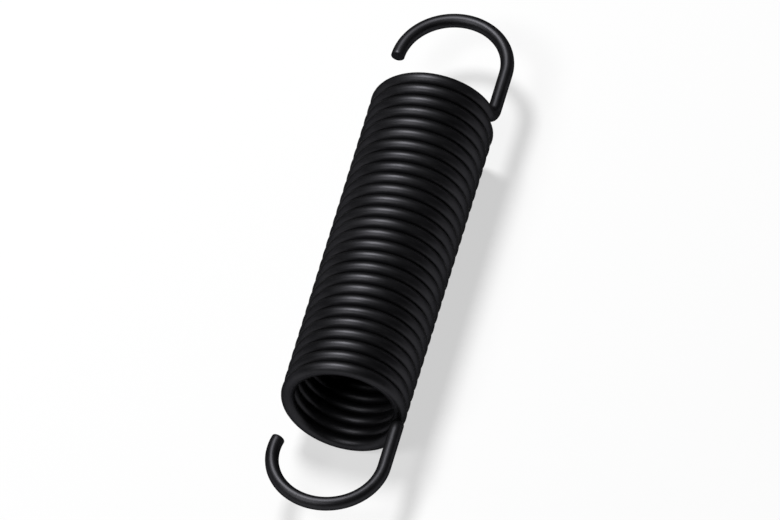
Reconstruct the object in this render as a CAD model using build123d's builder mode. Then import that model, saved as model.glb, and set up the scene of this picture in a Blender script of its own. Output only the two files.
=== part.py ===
from build123d import *
from math import atan2, cos, degrees, pi, sin
import os

# Extension spring: one length of round wire, close wound, with a round side hook at each end.

# Millimetres, lying on a flat surface. The origin is on that surface, under the middle of the coil.
# +Y runs along the coil's axis to its back end, +X points at the two legs, and +Z is up.

# Wire
wire_diameter = 2.0
end_break = 0.06  # the sharp edge taken off each sheared end

# Coil, right-hand wound
coil_mean_diameter = 16.4
turn_clearance = 0.026  # between one turn and the next: as wound, the turns all but touch
legs_in_line_turns = 27  # whole turns from the front leg round to the back one

# Elbow, where the wire turns from the last coil to run along the spring
elbow_radius = 2.15  # to the middle of the wire, like every bend here

# Straight legs between the elbows and the hooks
front_leg_length = 6.4
back_leg_length = 6.4

# Hooks, in the plane of the legs and the coil's axis
front_hook_radius = 8.2
front_hook_arc = 193.5
back_hook_radius = 8.0
back_hook_arc = 180.0

# Coil, as wound
coil_radius = coil_mean_diameter / 2
pitch = wire_diameter + turn_clearance
lead_angle = atan2(pitch, pi * coil_mean_diameter)

# An elbow starts out along the helix and ends parallel to the axis, so it turns through a right
# angle less the lead. It carries its leg a little way round the coil from where the winding stops.
elbow_arc = 90 - degrees(lead_angle)
elbow_advance = elbow_radius * (1 - sin(lead_angle))
elbow_angle = atan2(elbow_advance, coil_radius)
wound_turns = legs_in_line_turns - 2 * elbow_angle / (2 * pi)
wound_length = pitch * wound_turns

# The coil rests on its outside. The winding starts short of the legs by the elbow's angle.
axis_height = coil_radius + wire_diameter / 2
coil_frame = Plane(
    origin=(0, -wound_length / 2, axis_height),
    x_dir=(cos(elbow_angle), 0, -sin(elbow_angle)),
    z_dir=(0, 1, 0),
)


def bent_end(start, heading, outward, leg_length, hook_radius, hook_arc):
    """The elbow, the straight leg and the hook, from where the winding stops to the sheared end."""
    with BuildLine() as bends:
        with BuildLine(Plane(start, x_dir=heading, z_dir=heading.cross(outward))):
            elbow = JernArc((0, 0), (1, 0), elbow_radius, elbow_arc)
        leg = Line(elbow @ 1, (elbow @ 1) + outward * leg_length)
        to_axis = Vector(-(leg @ 1).X, -(leg @ 1).Y, 0)
        with BuildLine(Plane(leg @ 1, x_dir=outward, z_dir=outward.cross(to_axis))):
            JernArc((0, 0), (1, 0), hook_radius, hook_arc)
    return bends.line


# The middle of the wire, drawn about the coil's own axis
with BuildLine() as wire_middle:
    winding = Helix(pitch, wound_length, coil_radius)
    to_front = Vector(0, 0, -1)
    to_back = Vector(0, 0, 1)
    add(bent_end(winding @ 0, -(winding % 0), to_front, front_leg_length, front_hook_radius, front_hook_arc))
    add(bent_end(winding @ 1, winding % 1, to_back, back_leg_length, back_hook_radius, back_hook_arc))

# The spring: the round section carried along the whole path, laid down on its side
path = coil_frame.from_local_coords(wire_middle.wire())
with BuildPart() as spring_wire:
    with BuildSketch(Plane(path @ 0, z_dir=path % 0)):
        Circle(wire_diameter / 2)
    sweep(path=path)
    sheared_ends = spring_wire.faces().filter_by(GeomType.PLANE)
    chamfer(sheared_ends.edges(), end_break)

spring_wire.part.label = "spring_wire"
os.makedirs("parts", exist_ok=True)
export_step(spring_wire.part, "parts/spring_wire.step")
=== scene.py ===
from math import atan2, cos, hypot, pi, radians, sin

import bmesh
import bpy
from mathutils import Matrix, Vector


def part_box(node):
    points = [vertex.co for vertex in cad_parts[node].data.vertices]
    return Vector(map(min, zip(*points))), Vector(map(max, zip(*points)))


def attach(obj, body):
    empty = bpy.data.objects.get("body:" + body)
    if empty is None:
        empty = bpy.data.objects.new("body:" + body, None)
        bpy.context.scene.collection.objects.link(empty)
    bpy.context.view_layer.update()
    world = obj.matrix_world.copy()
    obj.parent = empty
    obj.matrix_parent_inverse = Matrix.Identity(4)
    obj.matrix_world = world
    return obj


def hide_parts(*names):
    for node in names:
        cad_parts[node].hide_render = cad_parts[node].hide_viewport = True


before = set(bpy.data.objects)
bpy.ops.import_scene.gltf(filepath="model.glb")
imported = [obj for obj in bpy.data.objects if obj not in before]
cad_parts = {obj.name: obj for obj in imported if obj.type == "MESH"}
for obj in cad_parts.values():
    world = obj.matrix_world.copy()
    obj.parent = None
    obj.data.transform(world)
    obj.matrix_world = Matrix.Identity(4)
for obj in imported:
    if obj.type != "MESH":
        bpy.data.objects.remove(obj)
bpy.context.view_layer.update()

# ------------------------------------------------------------------ spring
# One length of round spring wire, drawn, close wound right-handed on an arbor, then bent at each
# end into an elbow, a straight leg and a round side hook. Both ends are sheared square.
# The whole spring is blackened and oiled after bending, so the cut ends are black too.
wire_radius = 0.0010
coil_radius = 0.0082
turn_pitch = 0.002026
turns_between_legs = 27
elbow_radius = 0.00215
leg_length = 0.0064
front_hook_radius = 0.0082
front_hook_turn = radians(193.5)
back_hook_radius = 0.0080
back_hook_turn = radians(180)
end_break = 0.00006
same_point_within = 0.000001

points_round_wire = 26
steps_per_turn = 88
elbow_steps = 14
hook_steps = 54

lead_angle = atan2(turn_pitch, 2 * pi * coil_radius)
elbow_turn = pi / 2 - lead_angle
elbow_advance = elbow_radius * (1 - sin(lead_angle))
elbow_angle = atan2(elbow_advance, coil_radius)
leg_offset = hypot(coil_radius, elbow_advance)
wound_turns = turns_between_legs - elbow_angle / pi
wound_length = turn_pitch * wound_turns
legs_start = wound_length / 2 + elbow_radius * cos(lead_angle)
hooks_start = legs_start + leg_length

wire_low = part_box("spring_wire")[0]
coil_axis = Vector((0, 1, 0))
upright = Vector((0, 0, 1))
coil_middle = Vector((0, 0, wire_low.z + coil_radius + wire_radius))
leg_side = coil_middle + Vector((leg_offset, 0, 0))

wire = bmesh.new()
straight_place = wire.verts.layers.float_vector.new("straight_place")


def points_of(parts):
    return [part for part in parts if isinstance(part, bmesh.types.BMVert)]


def edges_of(parts):
    return [part for part in parts if isinstance(part, bmesh.types.BMEdge)]


def bend(section, centre, axis, turn, steps, bend_radius, advance=0.0):
    """Carries the wire's section round a centre, and along the axis by the advance on the way."""
    known = len(wire.verts)
    bent = bmesh.ops.spin(
        wire,
        geom=section,
        cent=centre,
        axis=axis,
        dvec=axis * (advance / steps),
        angle=turn,
        steps=steps,
        use_merge=False,
        use_normal_flip=False,
        use_duplicate=False,
    )
    wire.verts.ensure_lookup_table()
    step_length = hypot(bend_radius * turn, advance) / steps
    for number, point in enumerate(wire.verts[known:]):
        point[straight_place].z += (number // points_round_wire + 1) * step_length
    return bent["geom_last"]


def run_straight(section, length):
    """Carries the wire's section along the coil's axis."""
    drawn = bmesh.ops.extrude_edge_only(wire, edges=edges_of(section))["geom"]
    points = points_of(drawn)
    bmesh.ops.translate(wire, vec=coil_axis * length, verts=points)
    for point in points:
        point[straight_place].z += length
    return points + [edge for edge in edges_of(drawn) if set(edge.verts) <= set(points)]


# the sheared end of the front hook, where the wire's section starts
front_hook_centre = leg_side - Vector((front_hook_radius, hooks_start, 0))
spread = Matrix.Rotation(-front_hook_turn, 3, "Z") @ Vector((1, 0, 0))
onward = upright.cross(spread)
section_frame = Matrix((spread, -upright, onward)).transposed().to_4x4()
section_frame.translation = front_hook_centre + spread * front_hook_radius
started = bmesh.ops.create_circle(
    wire, cap_ends=False, segments=points_round_wire, radius=wire_radius, matrix=section_frame
)
first_rim = list(wire.edges)

# each point keeps its place on the wire as it was when straight, across its section and along it
to_section = section_frame.inverted()
for point in started["verts"]:
    point[straight_place] = to_section @ point.co

# front hook, leg and elbow
section = started["verts"] + first_rim
section = bend(section, front_hook_centre, upright, front_hook_turn, hook_steps, front_hook_radius)
section = run_straight(section, leg_length)
winding_starts = Vector((-sin(elbow_angle), 0, -cos(elbow_angle)))
front_elbow_centre = leg_side - coil_axis * legs_start + winding_starts * elbow_radius
section = bend(
    section, front_elbow_centre, coil_axis.cross(winding_starts), elbow_turn, elbow_steps, elbow_radius
)

# the close-wound coil: the part turn next to the elbow, then one whole turn and its copies
whole_turns = int(wound_turns)
part_turn = wound_turns - whole_turns
section = bend(
    section,
    coil_middle,
    coil_axis,
    part_turn * 2 * pi,
    round(part_turn * steps_per_turn),
    coil_radius,
    advance=part_turn * turn_pitch,
)
turn_points = set(points_of(section))
before_turn = set(wire.verts) - turn_points
section = bend(
    section, coil_middle, coil_axis, 2 * pi, steps_per_turn, coil_radius, advance=turn_pitch
)
turn_points = set(wire.verts) - before_turn
turn = [point for point in wire.verts if point in turn_points]
turn += [edge for edge in wire.edges if set(edge.verts) <= turn_points]
turn += [face for face in wire.faces if set(face.verts) <= turn_points]
turn_length = hypot(2 * pi * coil_radius, turn_pitch)
for count in range(1, whole_turns):
    copied = bmesh.ops.duplicate(wire, geom=turn)
    copied_points = points_of(copied["geom"])
    bmesh.ops.translate(wire, vec=coil_axis * turn_pitch * count, verts=copied_points)
    for point in copied_points:
        point[straight_place].z += turn_length * count
section = [copied["vert_map"][point] for point in points_of(section)] + [
    copied["edge_map"][edge] for edge in edges_of(section)
]

# back elbow, leg and hook
winding_ends = Vector((sin(elbow_angle), 0, -cos(elbow_angle)))
back_elbow_centre = leg_side + coil_axis * legs_start - winding_ends * elbow_radius
section = bend(
    section, back_elbow_centre, winding_ends.cross(coil_axis), elbow_turn, elbow_steps, elbow_radius
)
section = run_straight(section, leg_length)
back_hook_centre = leg_side + Vector((-back_hook_radius, hooks_start, 0))
section = bend(section, back_hook_centre, upright, back_hook_turn, hook_steps, back_hook_radius)
last_rim = edges_of(section)
bmesh.ops.remove_doubles(wire, verts=wire.verts, dist=same_point_within)

# the sheared ends, with their sharp edges taken off
for side in wire.faces:
    side.smooth = True
bmesh.ops.edgeloop_fill(wire, edges=first_rim, mat_nr=1)
bmesh.ops.edgeloop_fill(wire, edges=last_rim, mat_nr=1)
broken = bmesh.ops.bevel(
    wire,
    geom=first_rim + last_rim,
    offset=end_break,
    offset_type="OFFSET",
    segments=2,
    profile=0.5,
    affect="EDGES",
    material=-1,
)
bmesh.ops.recalc_face_normals(wire, faces=wire.faces)
for face in wire.faces:
    if face.material_index == 1:
        for edge in face.edges:
            edge.smooth = False
for face in broken["faces"]:
    face.smooth = True

spring_mesh = bpy.data.meshes.new("black_spring")
wire.to_mesh(spring_mesh)
wire.free()
spring = bpy.data.objects.new("black_spring", spring_mesh)
bpy.context.scene.collection.objects.link(spring)


class Value:
    """A shader socket that can stand in a sum. A sum adds its Math nodes."""

    def __init__(self, finish, socket):
        self.finish = finish
        self.socket = socket

    def worked(self, operation, first, second):
        return self.finish.add("Math", {"operation": operation}, {0: first, 1: second})

    def __add__(self, other):
        return self.worked("ADD", self, other)

    def __radd__(self, other):
        return self.worked("ADD", other, self)

    def __mul__(self, other):
        return self.worked("MULTIPLY", self, other)

    def __rmul__(self, other):
        return self.worked("MULTIPLY", other, self)


class Finish:
    """The nodes of one material or world. add() puts in a node, set up, with its sockets filled."""

    def __init__(self, owner):
        owner.use_nodes = True
        self.owner = owner
        self.tree = owner.node_tree
        self.tree.nodes.clear()

    def add(self, kind, settings, sockets, output=0):
        node = self.tree.nodes.new("ShaderNode" + kind)
        for name, setting in settings.items():
            setattr(node, name, setting)
        for name, value in sockets.items():
            if isinstance(value, Value):
                self.tree.links.new(value.socket, node.inputs[name])
            else:
                node.inputs[name].default_value = value
        return Value(self, node.outputs[output]) if node.outputs else None

    def noise(self, place, size, detail, roughness=0.5):
        """Noise from 0 to 1 whose blots are about as large as size, in metres, along each axis."""
        spaced = self.add("Mapping", {}, {"Vector": place, "Scale": [1 / width for width in size]})
        return self.add(
            "TexNoise", {}, {"Vector": spaced, "Scale": 1.0, "Detail": detail, "Roughness": roughness}
        )

    def colour_between(self, share, first, second):
        """A colour between two. A Mix node's colours are its sockets 6 and 7 and its output 2."""
        return self.add("Mix", {"data_type": "RGBA"}, {0: share, 6: first, 7: second}, output=2)

    def raised(self, height, strength, distance):
        """The normal of a surface whose height, from 0 to 1, stands up to distance, in metres."""
        return self.add("Bump", {}, {"Strength": strength, "Distance": distance, "Height": height})


def blacken(finish, colour, dullness, normal):
    """Makes a finish blackened steel: nearly all metal, with edges that don't turn white."""
    shader = finish.add(
        "BsdfPrincipled",
        {},
        {
            "Base Color": colour,
            "Metallic": 0.92,
            "Roughness": dullness,
            "Specular IOR Level": 0.2,
            "Specular Tint": (0, 0, 0, 1),
            "Normal": normal,
        },
    )
    finish.add("OutputMaterial", {}, {"Surface": shader})
    spring_mesh.materials.append(finish.owner)


# the blackened and oiled finish: fine lines along the wire from the drawing die, a fine dull grain,
# and an oil film that lies thicker in some places than in others
die_line_size = (0.00012, 0.00012, 0.012)
broad_line_size = (0.0005, 0.0005, 0.03)
grain_size = (0.00006, 0.00006, 0.00006)
oil_blot_size = (0.004, 0.004, 0.004)
wire_relief = 0.00003
bare_black = (0.010, 0.010, 0.0116, 1)
oily_black = (0.056, 0.0555, 0.0603, 1)

black = Finish(bpy.data.materials.new("black_wire"))
on_wire = black.add("Attribute", {"attribute_name": "straight_place"}, {}, output="Vector")
on_spring = black.add("TexCoord", {}, {}, output="Object")
die_lines = black.noise(on_wire, die_line_size, 3.0, 0.6)
broad_lines = black.noise(on_wire, broad_line_size, 2.0)
grain = black.noise(on_spring, grain_size, 2.0)
oil_film = black.noise(on_spring, oil_blot_size, 4.0, 0.55)
paleness = 0.5 * oil_film + 0.3 * broad_lines + 0.2 * grain
relief = 0.55 * die_lines + 0.15 * broad_lines + 0.30 * grain
blacken(
    black,
    colour=black.colour_between(paleness, bare_black, oily_black),
    dullness=0.28 + 0.10 * oil_film + 0.12 * broad_lines + 0.10 * grain,
    normal=black.raised(relief, 0.5, wire_relief),
)

# a sheared end: the blade burnished one side of the cut and tore the rest in ragged steps
shear_step_size = (0.0004, 0.0004, 0.00007)
torn_grain_size = (0.00008, 0.00008, 0.00008)
cut_relief = 0.00005
burnished_black = (0.014, 0.014, 0.0162, 1)
torn_black = (0.030, 0.0295, 0.033, 1)

cut = Finish(bpy.data.materials.new("black_cut_end"))
on_end = cut.add("TexCoord", {}, {}, output="Object")
shear_steps = cut.noise(on_end, shear_step_size, 3.0, 0.6)
torn_grain = cut.noise(on_end, torn_grain_size, 3.0, 0.6)
blacken(
    cut,
    colour=cut.colour_between(shear_steps, burnished_black, torn_black),
    dullness=0.42 + 0.16 * torn_grain,
    normal=cut.raised(0.7 * shear_steps + 0.3 * torn_grain, 0.6, cut_relief),
)

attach(spring, "root")
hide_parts("spring_wire")

# ------------------------------------------------------------------ floor
# The plain pale table that the spring lies on, painted matt. It takes the spring's soft shadow. A
# share of plain white in what is seen of it, straight or in the wire, keeps it pale to its edges.
table_radius = 40.0
table_colour = (0.81, 0.81, 0.81, 1)
white = (1, 1, 1, 1)
white_share = 0.6


def broad_disc(name, radius, place):
    """A flat disc of the studio, which faces up until its place turns it over."""
    mesh = bpy.data.meshes.new(name)
    shape = bmesh.new()
    bmesh.ops.create_circle(shape, cap_ends=True, segments=96, radius=radius, matrix=place)
    shape.to_mesh(mesh)
    shape.free()
    disc = bpy.data.objects.new(name, mesh)
    bpy.context.scene.collection.objects.link(disc)
    return disc


def seen_directly(finish):
    """1 for what the camera sees, straight, mirrored or through glass, and 0 for light on things."""
    path = finish.add("LightPath", {}, {}, output="Is Camera Ray")
    rays = path.socket.node.outputs
    glossy = Value(finish, rays["Is Glossy Ray"])
    return path + glossy + Value(finish, rays["Is Transmission Ray"])


pale = Finish(bpy.data.materials.new("pale_table"))
paint = pale.add("BsdfDiffuse", {}, {"Color": table_colour})
glow = pale.add("Emission", {}, {"Color": white, "Strength": 1.0})
pale_shader = pale.add("MixShader", {}, {0: white_share * seen_directly(pale), 1: paint, 2: glow})
pale.add("OutputMaterial", {}, {"Surface": pale_shader})
table = broad_disc("table", table_radius, Matrix.Translation((0, 0, wire_low.z)))
table.data.materials.append(pale.owner)

# ------------------------------------------------------------------ ceiling
# The studio's ceiling, high over the lamps and the camera. It is painted a dull black, so that the
# wire is dark wherever it doesn't reflect a lamp or the table.
ceiling_height = 2.6
ceiling_radius = 40.0
ceiling_colour = (0.03, 0.03, 0.03, 1)

dull_black = Finish(bpy.data.materials.new("dull_black_paint"))
ceiling_shader = dull_black.add("BsdfDiffuse", {}, {"Color": ceiling_colour})
dull_black.add("OutputMaterial", {}, {"Surface": ceiling_shader})
turned_over = Matrix.Translation((0, 0, ceiling_height)) @ Matrix.Rotation(pi, 4, "X")
ceiling = broad_disc("ceiling", ceiling_radius, turned_over)
ceiling.data.materials.append(dull_black.owner)

# ------------------------------------------------------------------ light
# A small bright soft box high at the back left, a larger and weaker one at the front left, and a
# plain white room round them.
lamps_from_middle = 1.2
room_level = 0.2
room_colour = (1, 1, 1, 1)


def soft_box(name, bearing, height, width, level):
    """A round soft box that points at the coil. Its level is 1 where white renders as white."""
    away = Vector((cos(bearing) * cos(height), sin(bearing) * cos(height), sin(height)))
    lamp = bpy.data.lights.new(name, "AREA")
    lamp.shape = "DISK"
    lamp.size = width
    lamp.energy = level * (pi * lamps_from_middle) ** 2
    holder = bpy.data.objects.new(name, lamp)
    holder.location = coil_middle + away * lamps_from_middle
    holder.rotation_euler = away.to_track_quat("Z", "Y").to_euler()
    bpy.context.scene.collection.objects.link(holder)


soft_box("key_light", bearing=radians(133), height=radians(64.8), width=0.34, level=1.05)
soft_box("front_light", bearing=radians(234), height=radians(55), width=0.5, level=0.36)

room = bpy.data.worlds.new("room")
bpy.context.scene.world = room
walls = Finish(room)
room_light = walls.add("Background", {}, {"Color": room_colour, "Strength": room_level})
room_white = walls.add("Background", {}, {"Color": room_colour, "Strength": 1.0})
room_shader = walls.add("MixShader", {}, {0: seen_directly(walls), 1: room_light, 2: room_white})
walls.add("OutputWorld", {}, {"Surface": room_shader})

# ------------------------------------------------------------------ camera
# Looks down steeply along the coil from its front hook, slightly turned and tilted, with no
# perspective, as a long lens far away sees it.
camera_bearing = radians(18.80)
camera_height = radians(53.10)
camera_tilt = radians(-5.88)
camera_aside = 0.0003
camera_above = 0.00018
camera_distance = 1.0
width_seen = 0.11184

look = (
    Matrix.Rotation(camera_bearing, 3, "Z")
    @ Matrix.Rotation(pi / 2 - camera_height, 3, "X")
    @ Matrix.Rotation(camera_tilt, 3, "Z")
)
stands_at = coil_middle + look @ Vector((camera_aside, camera_above, camera_distance))
lens = bpy.data.cameras.new("camera")
lens.type = "ORTHO"
lens.ortho_scale = width_seen
lens.clip_start = 0.01
lens.clip_end = 50
camera = bpy.data.objects.new("camera", lens)
camera.matrix_world = Matrix.Translation(stands_at) @ look.to_4x4()
bpy.context.scene.collection.objects.link(camera)
bpy.context.scene.camera = camera

bpy.context.scene.view_settings.view_transform = "Standard"
